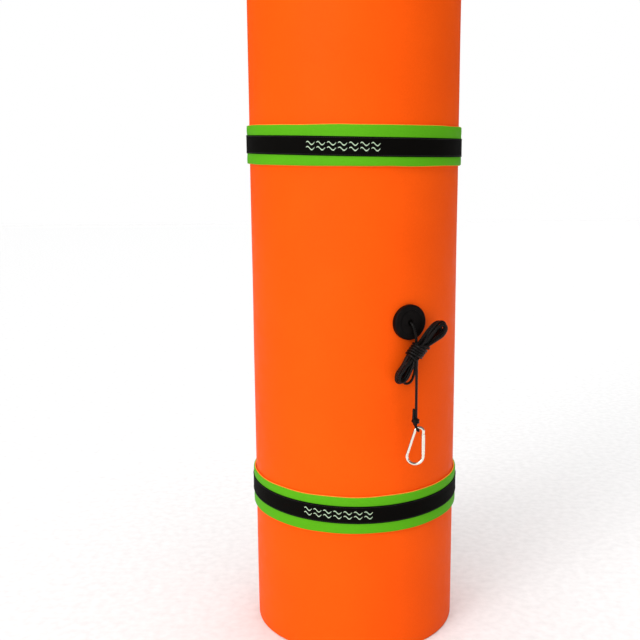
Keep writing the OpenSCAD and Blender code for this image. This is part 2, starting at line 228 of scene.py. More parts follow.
class Shader:
    """A Principled material, and short ways to add nodes to it."""

    def __init__(self, name, color, roughness, **sockets):
        self.material = bpy.data.materials.new(name)
        self.material.use_nodes = True
        self.tree = self.material.node_tree
        self.bsdf = self.tree.nodes["Principled BSDF"]
        self.bsdf.inputs["Base Color"].default_value = (*color, 1)
        self.bsdf.inputs["Roughness"].default_value = roughness
        for key, value in sockets.items():
            self.bsdf.inputs[key.replace("_", " ")].default_value = value

    def node(self, kind, inputs=(), **settings):
        n = self.tree.nodes.new("ShaderNode" + kind)
        for key, value in settings.items():
            setattr(n, key, value)
        for key, value in dict(inputs).items():
            if isinstance(value, bpy.types.NodeSocket):
                self.tree.links.new(value, n.inputs[key])
            else:
                n.inputs[key].default_value = value
        return n

    def math(self, operation, a, b=0.0, clamp=False):
        return self.node("Math", {0: a, 1: b}, operation=operation, use_clamp=clamp).outputs[0]

    def mark(self, name):
        return self.node("Attribute", attribute_name=name).outputs["Vector"]

    def parts(self, vector):
        return self.node("SeparateXYZ", {0: vector}).outputs

    def place(self):
        return self.node("TexCoord").outputs["Object"]

    def noise(self, scale, detail):
        inputs = {"Vector": self.place(), "Scale": scale, "Detail": detail, "Roughness": 0.5}
        return self.node("TexNoise", inputs).outputs["Fac"]

    def spread(self, value, low, high, to_low=0.0, to_high=1.0):
        return self.node(
            "MapRange",
            {"Value": value, "From Min": low, "From Max": high, "To Min": to_low, "To Max": to_high},
        ).outputs[0]

    def mix(self, factor, a, b):
        n = self.node("Mix", data_type="RGBA")
        for socket, value in (("Factor_Float", factor), ("A_Color", a), ("B_Color", b)):
            target = next(i for i in n.inputs if i.identifier == socket)
            if isinstance(value, bpy.types.NodeSocket):
                self.tree.links.new(value, target)
            else:
                target.default_value = (*value, 1) if isinstance(value, tuple) else value
        return next(o for o in n.outputs if o.identifier == "Result_Color")

    def color(self, value):
        self.tree.links.new(value, self.bsdf.inputs["Base Color"])

    def rough(self, value):
        self.tree.links.new(value, self.bsdf.inputs["Roughness"])

    def bump(self, *layers):
        """Each layer is (height, strength, distance in metres)."""
        normal = None
        for height, strength, distance in layers:
            n = self.node("Bump", {"Height": height, "Strength": strength, "Distance": distance})
            if normal:
                self.tree.links.new(normal, n.inputs["Normal"])
            normal = n.outputs["Normal"]
        self.tree.links.new(normal, self.bsdf.inputs["Normal"])
        return self


def foam(name, base, dark, cell):
    """Closed-cell foam: a fine skin, soft blotches, and open cells where it was cut."""
    sh = Shader(name, base, 0.5, Specular_IOR_Level=0.03)
    cut = sh.parts(sh.mark("cut"))[0]
    blotch = sh.spread(sh.noise(5, 3), 0.3, 0.7)
    fleck = sh.spread(sh.noise(240, 2), 0.35, 0.65, 0.0, 0.35)
    cells = sh.node("TexVoronoi", {"Vector": sh.place(), "Scale": 620}).outputs["Distance"]
    shade = sh.math("ADD", sh.math("MULTIPLY", blotch, 0.5), fleck, clamp=True)
    skin = sh.mix(shade, base, dark)
    open_cells = sh.mix(sh.spread(cells, 0.1, 0.7), cell, base)
    sh.color(sh.mix(cut, skin, open_cells))
    sh.rough(sh.math("ADD", sh.spread(sh.noise(30, 3), 0.3, 0.7, 0.44, 0.56), sh.math("MULTIPLY", cut, 0.25)))
    skin_grain = sh.noise(1100, 2)
    depth = sh.math("MULTIPLY", cells, cut)
    return sh.bump((sh.noise(9, 2), 0.25, 0.004), (skin_grain, 0.16, 0.0005), (depth, 0.7, 0.0008)).material


def webbing_material(name, base, ridge_highlight):
    """Woven webbing: fine ribs along it, crossed by the weft. The colour is lighter on the raised threads, a
    painted highlight, with painted shade in the hollows.
    """
    sh = Shader(name, base, 0.7, Specular_IOR_Level=0.03)
    along, across, _ = sh.parts(sh.mark("flat"))
    warp = sh.math("SINE", sh.math("MULTIPLY", across, 2 * math.pi / 0.0016))
    weft = sh.math("SINE", sh.math("MULTIPLY", along, 2 * math.pi / 0.0024))
    weave = sh.spread(sh.math("MULTIPLY", warp, weft), -1.0, 1.0)
    rib = sh.spread(sh.math("ABSOLUTE", warp), 0.0, 1.0)
    height = sh.math("ADD", sh.math("MULTIPLY", weave, 0.6), sh.math("MULTIPLY", rib, 0.4))
    fibre = sh.noise(900, 3)
    # Painted highlight and shade: the colour goes from the dark base in the weave's hollows to the lighter
    # colour on its raised threads.
    sh.color(sh.mix(sh.math("MULTIPLY", height, sh.spread(fibre, 0.3, 0.7, 0.5, 1.0)), base, ridge_highlight))
    return sh.bump((height, 0.8, 0.00035), (fibre, 0.2, 0.0002)).material


def braid_material(name, base, glint):
    """Braided cord sheath: two sets of strands that cross round it."""
    sh = Shader(name, base, 0.26, Specular_IOR_Level=0.16)
    along, cosine, sine = sh.parts(sh.mark("strand"))
    turn = sh.math("ARCTAN2", sine, cosine)
    lay = sh.math("MULTIPLY", along, 2 * math.pi / 0.0052)
    one = sh.math("SINE", sh.math("ADD", lay, sh.math("MULTIPLY", turn, 4)))
    two = sh.math("SINE", sh.math("SUBTRACT", lay, sh.math("MULTIPLY", turn, 4)))
    plait = sh.spread(sh.math("MAXIMUM", one, two), -0.4, 1.0)
    sh.color(sh.mix(plait, base, glint))
    sh.rough(sh.spread(sh.noise(400, 2), 0.3, 0.7, 0.24, 0.38))
    return sh.bump((plait, 0.75, 0.0005), (sh.noise(2500, 2), 0.1, 0.0001)).material


def rubber_material(name, base):
    """Moulded rubber with a faint bloom and fine grain."""
    sh = Shader(name, base, 0.42, Specular_IOR_Level=0.06)
    bloom = sh.spread(sh.noise(60, 4), 0.35, 0.75)
    sh.color(sh.mix(bloom, base, tuple(x * 1.8 + 0.001 for x in base)))
    sh.rough(sh.spread(sh.noise(120, 3), 0.3, 0.7, 0.36, 0.55))
    return sh.bump((sh.noise(1400, 2), 0.15, 0.0002), (sh.noise(90, 3), 0.1, 0.0006)).material


def steel_material(name, base, low, high):
    """Bright plated steel with fine handling marks."""
    sh = Shader(name, base, low, Metallic=1.0)
    streaks = sh.noise(700, 3)
    sh.color(sh.mix(sh.spread(sh.noise(160, 3), 0.45, 0.75), base, tuple(x * 0.86 for x in base)))
    sh.rough(sh.spread(streaks, 0.3, 0.75, low, high))
    return sh.bump((streaks, 0.04, 0.0001)).material


def fuzz_material(name, base, tip, scale):
    """One half of a hook-and-loop closure: a dense short pile. Its colour is lighter where the pile stands
    highest, a painted highlight on the tips.
    """
    sh = Shader(name, base, 0.85, Sheen_Weight=0.5, Sheen_Roughness=0.4, Specular_IOR_Level=0.2)
    pile = sh.node("TexVoronoi", {"Vector": sh.place(), "Scale": scale}).outputs["Distance"]
    tangle = sh.noise(scale * 1.7, 4)
    height = sh.math("ADD", pile, tangle)
    # Painted highlight: the colour goes from the dark base to the lighter tip colour where the pile stands
    # highest.
    sh.color(sh.mix(sh.spread(height, 0.5, 1.3), base, tip))
    return sh.bump((height, 0.9, 0.0009)).material


def plain_material(name, base, roughness, grain=900):
    """Thread and print: one tone with a fine grain."""
    sh = Shader(name, base, roughness)
    sh.color(sh.mix(sh.noise(grain, 2), base, tuple(x * 0.8 for x in base)))
    return sh.bump((sh.noise(grain, 2), 0.3, 0.0002)).material


ORANGE_FOAM = foam("orange_foam", (0.93, 0.100, 0.004), (0.86, 0.084, 0.003), (0.96, 0.20, 0.03))
GREEN_FOAM = foam("green_foam", (0.105, 0.44, 0.008), (0.09, 0.39, 0.006), (0.20, 0.58, 0.04))
STRAP_GREEN = foam("strap_green_foam", (0.096, 0.40, 0.010), (0.084, 0.35, 0.008), (0.18, 0.55, 0.04))
STRAP_ORANGE = foam("strap_orange_foam", (0.95, 0.28, 0.03), (0.90, 0.24, 0.02), (0.98, 0.38, 0.06))
# The webbing's second colour is the painted highlight on the weave's raised threads.
WEBBING = webbing_material("black_webbing", (0.001, 0.001, 0.0008), (0.0042, 0.0035, 0.0028))
BRAID = braid_material("black_braid", (0.0014, 0.0010, 0.0009), (0.0050, 0.0040, 0.0034))
RUBBER = rubber_material("black_rubber", (0.003, 0.0022, 0.002))
CHROME = steel_material("bright_steel", (0.86, 0.82, 0.72), 0.04, 0.12)
SPRING = steel_material("spring_steel", (0.46, 0.46, 0.47), 0.22, 0.36)
# The piles' second colours are the painted highlight on their tips.
LOOPS = fuzz_material("loop_pile", (0.006, 0.006, 0.006), (0.035, 0.034, 0.032), 1100)
HOOKS = fuzz_material("hook_pile", (0.004, 0.004, 0.004), (0.020, 0.020, 0.020), 700)
THREAD = plain_material("black_thread", (0.012, 0.012, 0.011), 0.6)
PRINT = plain_material("pale_print", (0.50, 0.66, 0.45), 0.55, grain=500)


# ---- The tether's cord ----

LEAD_ROUTE = [
    (0, 0, -20), (0, 0, -6), (0, 0, 6), (1, -3, 14), (3, -9.5, 18.2), (6, -20, 19.6),
    (9, -31, 20), (12.8, -41, 20.3), (16.6, -50, 20.5),
]  # fmt: skip
LINE_ROUTE = [
    (-4.9, -87, 44.8), (-2.8, -92, 44.2), (-2, -98.5, 43.4), (-2, -107, 43), (-2, -120, 43),
    (-2, -136, 43), (-2, -152, 43), (-2, -168, 43), (-2, -184, 43), (-2, -200, 43),
    (-2, -216, 43), (-2, -232, 43), (-2, -248, 43),
]  # fmt: skip
# The hank's sixteen strands pass its waist in four rows, back to front: strands in the row, and
# its level in cord diameters. Each row runs on from the end of the one before.
STRAND_ROWS = [(3, -1.3), (4, -0.45), (5, 0.4), (4, 1.25)]
STRANDS = [
    (CORD_D * 0.94 * (i - (count - 1) / 2) * (-1) ** row, CORD_D * level)
    for row, (count, level) in enumerate(STRAND_ROWS)
    for i in range(count)
]
# Loops below the waist and above it: turn in degrees, reach, half width at the tip, shift
# across, level outwards, and how far the limbs spread before the tip
LOWER_LOOPS = [
    (7, 101, 15, 5, -8, 0.85), (26, 99, 16, 0.5, -7, 1.0), (7, 103, 15, 3, -4, 0.45),
    (8, 97, 15, 1, -1, 0.85), (7, 92, 15, -1, 2.5, 0.4), (8, 102, 15, -3.2, 6.5, 0.8),
    (6, 95, 15, -5.5, 11, 0.4), (9, 99, 15, -7.5, 15.5, 0.7),
]  # fmt: skip
UPPER_LOOPS = [
    (-9, 109, 15, -1, -11, 0.95), (-11, 101, 15, 2, -8, 0.45), (-10, 114, 16, 0.5, -4, 0.95),
    (-10, 95, 15, 1.5, 0, 0.4), (-9, 112, 15.5, -2, 4.5, 0.9), (-11, 104, 15, -1, 9, 0.45),
    (-10, 107, 15, -2, 14, 0.8),
]  # fmt: skip
WRAP_RADIUS, WRAP_PITCH, WRAP_SLANT, WRAPS = 20.8, 7.4, 0.32, 5
WRAP_END = (-4.7, -19)
# The strands run straight this far each side of the waist's middle
WAIST_REACH = 13
# The cord's first and last stretches, which stay where the CAD has them
HELD_START, HELD_END = 42, 150
# The puck, a little wider than it is, its face, and the room left over the foam
PUCK_REACH, PUCK_FACE, FOAM_GAP = 48, 12.4, 0.5


def loop_points(a, b, turn, reach, half, across, level, pinch, side):
    """Control points from strand a at the waist, out round one loop, and back to strand b."""
    sign = -1 if a[0] < b[0] else 1
    tip = reach - CORD_D / 2 - half

    def limb(base, way):
        """A limb's two points: each part f of the way to the tip, and spread by w."""
        return [
            (across * f + way * half * w, tip * f, base + (level - base) * min(1, f * 1.25))
            for f, w in ((0.42, 0.6 * pinch), (0.72, pinch))
        ]

    bend = [
        (across + sign * half * math.cos(t), tip + half * math.sin(t), level)
        for t in np.radians([0, 36, 72, 108, 144, 180])
    ]
    points = np.array(limb(a[1], sign) + bend + limb(b[1], -sign)[::-1])
    points[:, 1] *= side
    points = placed(points, turned("Z", turn))
    return [(a[0], side * WAIST_REACH, a[1]), *points.tolist(), (b[0], side * WAIST_REACH, b[1])]


def hank_points():
    """The folded and wrapped part, in the hank's frame: across, along, outwards."""
    out = []
    for i in range(len(STRANDS) - 1):
        a, b = STRANDS[i], STRANDS[i + 1]
        side = -1 if i % 2 == 0 else 1
        row = (LOWER_LOOPS if side < 0 else UPPER_LOOPS)[i // 2]
        out += [(a[0], 0, a[1])] + loop_points(a, b, *row, side)
    out += [(STRANDS[-1][0], 0, STRANDS[-1][1]), (-7, 14, 12.4), (-4.6, 22, 16.8), (0, 27.8, 19.4)]
    out += [(6.6, 28.6, 19.2)]
    end = math.degrees(math.acos(WRAP_END[0] / WRAP_RADIUS))
    for angle in np.arange(end + 360 * WRAPS - 66, end + 10, -24):
        v = WRAP_RADIUS * math.cos(math.radians(angle))
        w = WRAP_RADIUS * math.sin(math.radians(angle))
        slant = WRAP_SLANT * (v - WRAP_END[0])
        out.append((v, WRAP_END[1] + WRAP_PITCH * (angle - end) / 360 + slant, w))
    return out


def surface_height(p):
    """How high above the puck's origin the roll or the puck's face is at each point."""
    roll = np.sqrt(ROLL_RADIUS**2 - np.minimum(np.abs(p[:, 0]), 200) ** 2) - ROLL_RADIUS
    return np.where(np.hypot(p[:, 0], p[:, 1]) < PUCK_REACH, np.maximum(roll, PUCK_FACE), roll + FOAM_GAP)


def relaxed(line, held, rounds=170):
    """The line with its own strands pushed a cord's width apart, and its bends kept smooth."""
    p, home = line.copy(), line.copy()
    apart = CORD_D * 1.01
    order = np.arange(len(p))
    near = np.abs(np.subtract.outer(order, order)) < 4
    for turn in range(rounds):
        gap = p[:, None] - p[None]
        d = np.sqrt((gap**2).sum(-1)) + 1e-9
        lack = np.where(near | (d > apart), 0, apart - d)
        push = (gap / d[..., None] * lack[..., None]).sum(1) / np.maximum((lack > 0).sum(1), 1)[:, None]
        ease = 0.25 if turn < rounds - 25 else 0.5
        step = 0.5 * push + 0.01 * (home - p)
        step[1:-1] += ease * ((p[:-2] + p[2:]) / 2 - p[1:-1])
        step[~held] = np.clip(step[~held], -1.2, 1.2)
        step[held] = 0
        p += step
        floor = surface_height(p) + CORD_D / 2
        low = (p[:, 2] < floor) & ~held
        p[low, 2] = floor[low]
    return p


def tether_path():
    """The whole cord's centreline in the puck's frame, in millimetres."""
    inner = placed(hank_points(), HANK_IN_PUCK)
    line = spline(np.vstack([LEAD_ROUTE, inner[1:], LINE_ROUTE]), 3.0)
    along = arc_lengths(line)
    held = (along < HELD_START) | (along > along[-1] - HELD_END)
    return resampled(spline(relaxed(line, held)[::2], 2.0), 2.0)


tether_line = tether_path()
tether_world = placed(tether_line, PUCK) * MM
cord_piece = tube("tether_cord", tether_world, CORD_D / 2 * MM, BRAID)


def knot_piece():
    """The hitch over the hook's wire: two strands side by side, wrapped by the tail."""
    bow_radius, bow_bearing, eye_radius = 11, 122, 8
    radial, out = np.array([*unit(bow_bearing), 0]), np.array([0, 0, 1.0])
    eye = HOOK_AT - np.array([0, bow_radius, 0]) + bow_radius * radial
    points = [(0.6, 12, 0), (0.8, 6, 0.6), (0.6, 0, 1.6), (-0.4, -5, 2.6)]
    for angle in np.radians(np.arange(38, 330, 24)):
        points.append(eye + eye_radius * (math.cos(angle) * radial + math.sin(angle) * out))
    points += [(-3.6, -6.2, -3.0), (-4.2, -2.5, -5.4)]
    for i, angle in enumerate(np.radians(np.arange(-120, 700, 30))):
        y = -2.6 + 10.0 * math.sin(i / 27 * math.pi * 0.5) - 3.4 * (i > 22) * (i - 22) / 5
        r = 5.7 + 1.6 * math.sin(min(1, i / 22) * math.pi)
        points.append((-1.2 + r * math.cos(angle), y, r * math.sin(angle) * 0.96))
    points += [(-6.6, 11, 2.5), (-6.3, 17, 0.6), (-6.15, 24, 0), (-6.15, 30, 0), (-6.3, 36.5, 0.2)]
    line = placed(spline(points, 1.2), KNOT) * MM
    radii = np.full(len(line), CORD_D / 2 * MM)
    radii[-4:] = np.array([3.05, 2.9, 2.4, 1.4]) * MM
    return tube("eye_and_knot", line, radii, BRAID)


def stopper_piece():
    """The overhand stopper in the puck's pocket."""
    t = np.linspace(0, 2 * math.pi, 90)
    ring = 3.9 + 1.9 * np.cos(3 * t)
    knot = np.stack([ring * np.cos(2 * t), ring * np.sin(2 * t), 3.1 * np.sin(3 * t) - 26.5], 1)
    line = resampled(placed(knot, PUCK) * MM, 0.0012)
    return tube("stopper_knot", line, 2.7 * MM, BRAID)


knot = knot_piece()
stopper = stopper_piece()
for piece, node in ((knot, "eye_knot"), (stopper, "stop_knot")):
    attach(piece, "tether")
    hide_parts(node)
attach(cord_piece, "tether")
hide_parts("tether_lead", "tether_hank", "tether_line")


# ---- The rolled mat ----


def ripple(degrees, z, seed, scale=1.0):
    """A smooth noise from -1 to 1 on the roll's surface."""
    a = math.radians(degrees)
    return noise.noise(Vector((1.6 * math.cos(a) + seed, 1.6 * math.sin(a), z / 420 * scale)))


def ply_rings(depth_out, depth_in, round_out, round_in):
    """Sections of one ply, from the free edge in to the core. A section goes up its outside."""
    corner = 2.6
    end = HALF_TURNS * 180 + CORE_ANGLE
    first = np.array([0, 0.06, 0.16, 0.3, 0.5, 0.8])
    outer, inner = np.arange(1.5, 380, 1.5), np.arange(380, end - 1.6, 3)
    last = end - 1.2 * first[::-1]
    stations = np.concatenate([first, outer, inner, last])
    heights = np.linspace(corner, MAT_WIDTH - corner, 60)
    ends = np.radians(np.linspace(0, 90, 5))
    rings, cuts = [], []
    for theta in stations:
        k = min(int(theta // 180), HALF_TURNS)
        bearing = EDGE_BEARING + 360 - theta
        radius = turn_radius(k)
        near_end = min(theta, end - theta) * math.radians(1) * radius
        inset = 0.0
        if near_end < corner:
            inset = corner - math.sqrt(max(0, corner**2 - (corner - near_end) ** 2))
        sag = (1 - math.cos(math.radians(theta / 5))) * 1.2
        top = 1.2 + 3.0 * ripple(theta * 0.9, theta * 2.3, 7.0) - sag
        foot = 0.8 + 0.8 * ripple(theta, theta * 1.7, 3.0)
        fade = min(1, max(0, (420 - theta) / 60))
        lo = foot + inset
        hi = MAT_WIDTH - 1.0 + min(top, 2.5) - inset
        profile = []
        d0 = depth_out + (inset if round_out else 0)
        d1 = depth_in - (inset if round_in else 0)
        c_out, c_in = (corner if round_out else 0.4), (corner if round_in else 0.4)
        for z in lo + c_out + (hi - lo - 2 * c_out) * (heights - corner) / (MAT_WIDTH - 2 * corner):
            profile.append((d0, z, 0))
        for t in ends[1:]:
            profile.append((d0 + c_out * (1 - math.cos(t)), hi - c_out + c_out * math.sin(t), t / 1.6))
        for t in ends[::-1]:
            profile.append((d1 - c_in * (1 - math.cos(t)), hi - c_in + c_in * math.sin(t), t / 1.6))
        for z in np.linspace(hi - 12, lo + 12, 9):
            profile.append((d1, z, 0))
        for t in ends:
            profile.append((d1 - c_in * (1 - math.cos(t)), lo + c_in - c_in * math.sin(t), t / 1.6))
        for t in ends[::-1][:-1]:
            profile.append((d0 + c_out * (1 - math.cos(t)), lo + c_out - c_out * math.sin(t), t / 1.6))
        ring = []
        for depth, z, _ in profile:
            dent = 0.45 * (1 + ripple(theta, z, 1.0)) + 0.35 * (1 + ripple(theta, z, 5.0, 2.4))
            dent = dent * fade + (1 - fade) * 0.7 * (1 + ripple(theta * 0.8, 0, 2.0))
            flare = 0.7 * math.exp(-min(z, MAT_WIDTH - z) / 30)
            r = radius - depth - dent - flare
            ring.append((*(turn_centre(k) + r * unit(bearing)), z))
        rings.append(ring)
        edge = 1.0 if near_end < 1.4 else 0.0
        cuts.append([(max(edge, cut), 0, 0) for _, _, cut in profile])
    return np.array(rings) * MM, np.array(cuts).reshape(-1, 3)


def tether_bore():
    """A round cutter for the tether's hole through the outermost turn."""
    angles = np.linspace(0, 2 * math.pi, 64, endpoint=False)
    rings = [
        placed([(STEM_HOLE * math.cos(a), STEM_HOLE * math.sin(a), z) for a in angles], PUCK) * MM
        for z in (-MAT_THICK - 1.5, 4)
    ]
    verts, faces = loft(np.array(rings))
    return mesh_piece("bore", verts, faces, RUBBER)


def ply_piece(name, material, *section):
    """One ply of the mat, marked where the foam is cut."""
    rings, cuts = ply_rings(*section)
    verts, faces = loft(rings, flip=True)
    return mesh_piece(name, verts, faces, material, {"cut": cuts})


def bored(piece):
    """Cuts the tether's hole through a ply."""
    bore = tether_bore()
    cutter = piece.modifiers.new("bore", "BOOLEAN")
    cutter.operation, cutter.solver, cutter.object = "DIFFERENCE", "MANIFOLD", bore
    mesh = bpy.data.meshes.new_from_object(piece.evaluated_get(bpy.context.evaluated_depsgraph_get()))
    piece.modifiers.clear()
    mesh.name = piece.name
    piece.data = mesh
    bpy.data.objects.remove(bore)


outer_ply = ply_piece("orange_ply", ORANGE_FOAM, 0, HALF_PLY, True, False)
inner_ply = ply_piece("green_ply", GREEN_FOAM, HALF_PLY, MAT_THICK, False, True)
for piece, node, slot in (
    (outer_ply, "mat_outer_ply", "mat_orange_foam"),
    (inner_ply, "mat_inner_ply", "mat_green_foam"),
):
    bored(piece)
    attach(piece, "mat")
    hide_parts(node)


# ---- The straps ----

BRIDGE_ANGLE = math.degrees(math.acos(turn_radius(1) / (ROLL_RADIUS + PITCH / 2)))
BRIDGE_BEARING = EDGE_BEARING + BRIDGE_ANGLE
EDGE_CORNER = turn_centre(0) + ROLL_RADIUS * unit(EDGE_BEARING)
LIFT = 2 * STRAP_PLY + 2 * CLOSURE_THICK + SLACK
TAB_START = OVERLAP_BEARING + 360
TAB_END = TAB_START + OVERLAP_ANGLE
RAMP_START = TAB_START - RAMP_ANGLE
# The strap's loose end starts here, ahead of its fold
BEND_START = RAMP_START - 6


def smooth(t):
    """Eases from 0 to 1 as t does."""
    t = min(1.0, max(0.0, t))
    return t * t * (3 - 2 * t)


def base_line():
    """(point, bearing) round the roll's outline, in order, for two laps of bearing."""
    out = []
    for lap in (0, 360):
        for a in np.arange(BRIDGE_BEARING, EDGE_BEARING + 180, 1.5):
            out.append((*(turn_centre(1) + turn_radius(1) * unit(a)), a + lap))
        for a in np.arange(EDGE_BEARING + 180, EDGE_BEARING + 360, 1.5):
            out.append((*(turn_centre(0) + ROLL_RADIUS * unit(a)), a + lap))
        for a in np.linspace(EDGE_BEARING + 360, BRIDGE_BEARING + 360, 12):
            out.append((*EDGE_CORNER, a + lap))
        foot = turn_centre(1) + turn_radius(1) * unit(BRIDGE_BEARING)
        for t in np.linspace(0.06, 0.94, 14):
            out.append((*(EDGE_CORNER * (1 - t) + foot * t), 360 + BRIDGE_BEARING + lap + t * 1e-3))
    return np.array(out)


BASE = base_line()


def wrap_line(start, stop, step=4.0):
    """Sections of the strap's path: (point, unit bearing, bearing, distance along), every step mm."""

    def point_at(a):
        m = (a - BRIDGE_BEARING) % 360
        if m < 180 - BRIDGE_ANGLE:
            return turn_centre(1) + turn_radius(1) * unit(a)
        if m < 360 - BRIDGE_ANGLE:
            return turn_centre(0) + ROLL_RADIUS * unit(a)
        return EDGE_CORNER

    rows = BASE[(BASE[:, 2] > start) & (BASE[:, 2] < stop)]
    rows = np.vstack([[*point_at(start), start], rows, [*point_at(stop), stop]])
    lifts = np.array([LIFT * smooth((a - RAMP_START) / RAMP_ANGLE) for a in rows[:, 2]])
    normals = np.array([unit(a) for a in rows[:, 2]])
    mid = rows[:, :2] + normals * (lifts + SLACK + STRAP_PLY)[:, None]
    table = np.column_stack([mid, rows[:, 2], lifts, normals])
    along = arc_lengths(mid)
    at = np.linspace(0, along[-1], max(2, int(along[-1] / step) + 1))
    cols = np.stack([np.interp(at, along, table[:, d]) for d in range(6)], 1)
    n = cols[:, 4:6] / np.linalg.norm(cols[:, 4:6], axis=1)[:, None]
    return {"point": cols[:, :2] - n * STRAP_PLY, "bearing": cols[:, 2], "normal": n, "along": at}


def spot(path, at):
    """The point, unit normal and bearing at a distance along a strap's path."""
    x, y = (np.interp(at, path["along"], path["point"][:, d]) for d in (0, 1))
    normal = np.array([np.interp(at, path["along"], path["normal"][:, d]) for d in (0, 1)])
    return x, y, normal, np.interp(at, path["along"], path["bearing"])


def band_section(width, low, high, corner_low, corner_high, bulge=None, across=13):
    """Cross-section of a band, (offset out, height) going up the outside and down the inside."""
    half = width / 2
    turn = np.radians(np.linspace(0, 90, 4))
    out = []
    for z in np.linspace(-half + corner_high, half - corner_high, across):
        out.append((high + (bulge(abs(z)) if bulge else 0), z))
    for t in turn[1:]:
        out.append((high - corner_high * (1 - math.cos(t)), half - corner_high + corner_high * math.sin(t)))
    for t in turn[::-1]:
        out.append((low + corner_low * (1 - math.cos(t)), half - corner_low + corner_low * math.sin(t)))
    for z in np.linspace(half - corner_low - 3, -half + corner_low + 3, 5):
        out.append((low, z))
    for t in turn:
        out.append((low + corner_low * (1 - math.cos(t)), -half + corner_low - corner_low * math.sin(t)))
    for t in turn[::-1][:-1]:
        out.append((high - corner_high * (1 - math.cos(t)), -half + corner_high - corner_high * math.sin(t)))
    return np.array(out)


# A band's cut ends are rounded over this length
END_ROUND = 1.2


def band_piece(name, which, start, stop, section, material, sway):
    """A band swept along the strap's path. sway(bearing, height) shifts it along the roll."""
    path = wrap_line(start, stop)
    mid = (section[:, 0].min() + section[:, 0].max()) / 2
    half_thick = (section[:, 0].max() - section[:, 0].min()) / 2
    rings, flats, cuts = [], [], []
    last = path["along"][-1]
    for p, n, a, distance in zip(path["point"], path["normal"], path["bearing"], path["along"]):
        inset = 0.0
        near_end = min(distance, last - distance)
        if near_end < END_ROUND:
            inset = END_ROUND - math.sqrt(max(0.0, END_ROUND**2 - (END_ROUND - near_end) ** 2))
        offsets = mid + (section[:, 0] - mid) * (1 - 0.8 * min(1, inset / half_thick))
        heights = section[:, 1] * (1 - inset / 50)
        z = STRAP_Z[which] + heights + sway(a, section[:, 1])
        xy = p + offsets[:, None] * n
        rings.append(np.column_stack([xy, z]))
        flats.append(np.column_stack([np.full(len(z), distance + start * 5), section[:, 1], section[:, 0]]))
        edge = np.abs(section[:, 1]) > np.abs(section[:, 1]).max() - 0.7
        cuts.append(np.column_stack([edge, np.zeros((len(z), 2))]))
    verts, faces = loft(np.array(rings) * MM)
    marks = {"flat": np.concatenate(flats) * MM, "cut": np.concatenate(cuts)}
    return mesh_piece(name, verts, faces, material, marks, angle=50)


def waved(bearing, lift, tilt, wave):
    """A height that tilts from left to right, with a wave that lifts it in front and behind."""
    a = math.radians(bearing)
    return lift - tilt * math.cos(a) - wave * math.cos(2 * a)


def strap_sway(seed, *level):
    """Hand-cut edges that wander a little, on a strap pulled on not quite level."""

    def sway(bearing, z):
        middle = waved(bearing, *level) + 0.6 * ripple(bearing, 0, seed, 1)
        edge = 1.3 * ripple(bearing * 2, 0, seed + 4, 1) * np.maximum(0, z / 50) ** 3
        foot = 1.3 * ripple(bearing * 2, 0, seed + 8, 1) * np.maximum(0, -z / 50) ** 3
        return middle + edge + foot

    return sway


def webbing_sway(seed, *level):
    """The webbing was sewn on a little off the middle, and not quite straight."""

    def sway(bearing, _):
        return waved(bearing, *level) + 0.5 * ripple(bearing, 0, seed, 1)

    return sway


def crown(z):
    """The outer ply pulls in beside the webbing's seams and fills out towards its edges."""
    return 0.35 * math.exp(-(((z - 39) / 6) ** 2)) - 0.45 * math.exp(-(((z - 26) / 3.2) ** 2))


FOAM_OUT = 2 * STRAP_PLY
WEB_OUT = FOAM_OUT + WEBBING_THICK
SECTIONS = {
    "outer_ply": band_section(STRAP_WIDTH, STRAP_PLY, FOAM_OUT, 0.15, 1.5, crown, across=31),
    "inner_ply": band_section(STRAP_WIDTH + 2.6, 0.02, STRAP_PLY, 1.2, 0.5),
    "webbing": band_section(WEBBING_WIDTH, FOAM_OUT - 0.05, WEB_OUT, 0.5, 0.7),
    "loop_patch": band_section(CLOSURE_WIDTH, FOAM_OUT, FOAM_OUT + CLOSURE_THICK, 0.2, 0.6),
    "hook_patch": band_section(CLOSURE_WIDTH, -CLOSURE_THICK, 0, 0.6, 0.2),
}


def joined(bodies):
    """Several closed bodies in millimetres, as the vertices in metres and faces of one."""
    verts, faces = [], []
    for body_verts, body_faces in bodies:
        base = sum(len(v) for v in verts)
        verts.append(body_verts)
        faces += [tuple(i + base for i in face) for face in body_faces]
    return np.vstack(verts) * MM, faces


def stitch_piece(name, which, start, stop, sway):
    """Two rows of lockstitches along the webbing's edges."""
    path = wrap_line(start, stop, 1.0)
    pitch, length = 5.0, 3.6
    bodies = []
    for row in (-WEBBING_WIDTH / 2 + 3.2, WEBBING_WIDTH / 2 - 3.2):
        for first in np.arange(2.0, path["along"][-1] - length - 1, pitch):
            ring_at = first + length * np.array([0, 0.14, 0.5, 0.86, 1])
            rise = np.array([-0.25, 0.22, 0.34, 0.22, -0.25])
            rings = []
            for at, lift in zip(ring_at, rise):
                x, y, n, a = spot(path, at)
                z = STRAP_Z[which] + row + float(sway(a, 0))
                for t in np.radians([0, 60, 120, 180, 240, 300]):
                    off = WEB_OUT + lift + 0.38 * math.sin(t)
                    rings.append((x + off * n[0], y + off * n[1], z + 0.42 * math.cos(t)))
            bodies.append(loft(np.array(rings).reshape(5, 6, 3)))
    return mesh_piece(name, *joined(bodies), THREAD, angle=70)


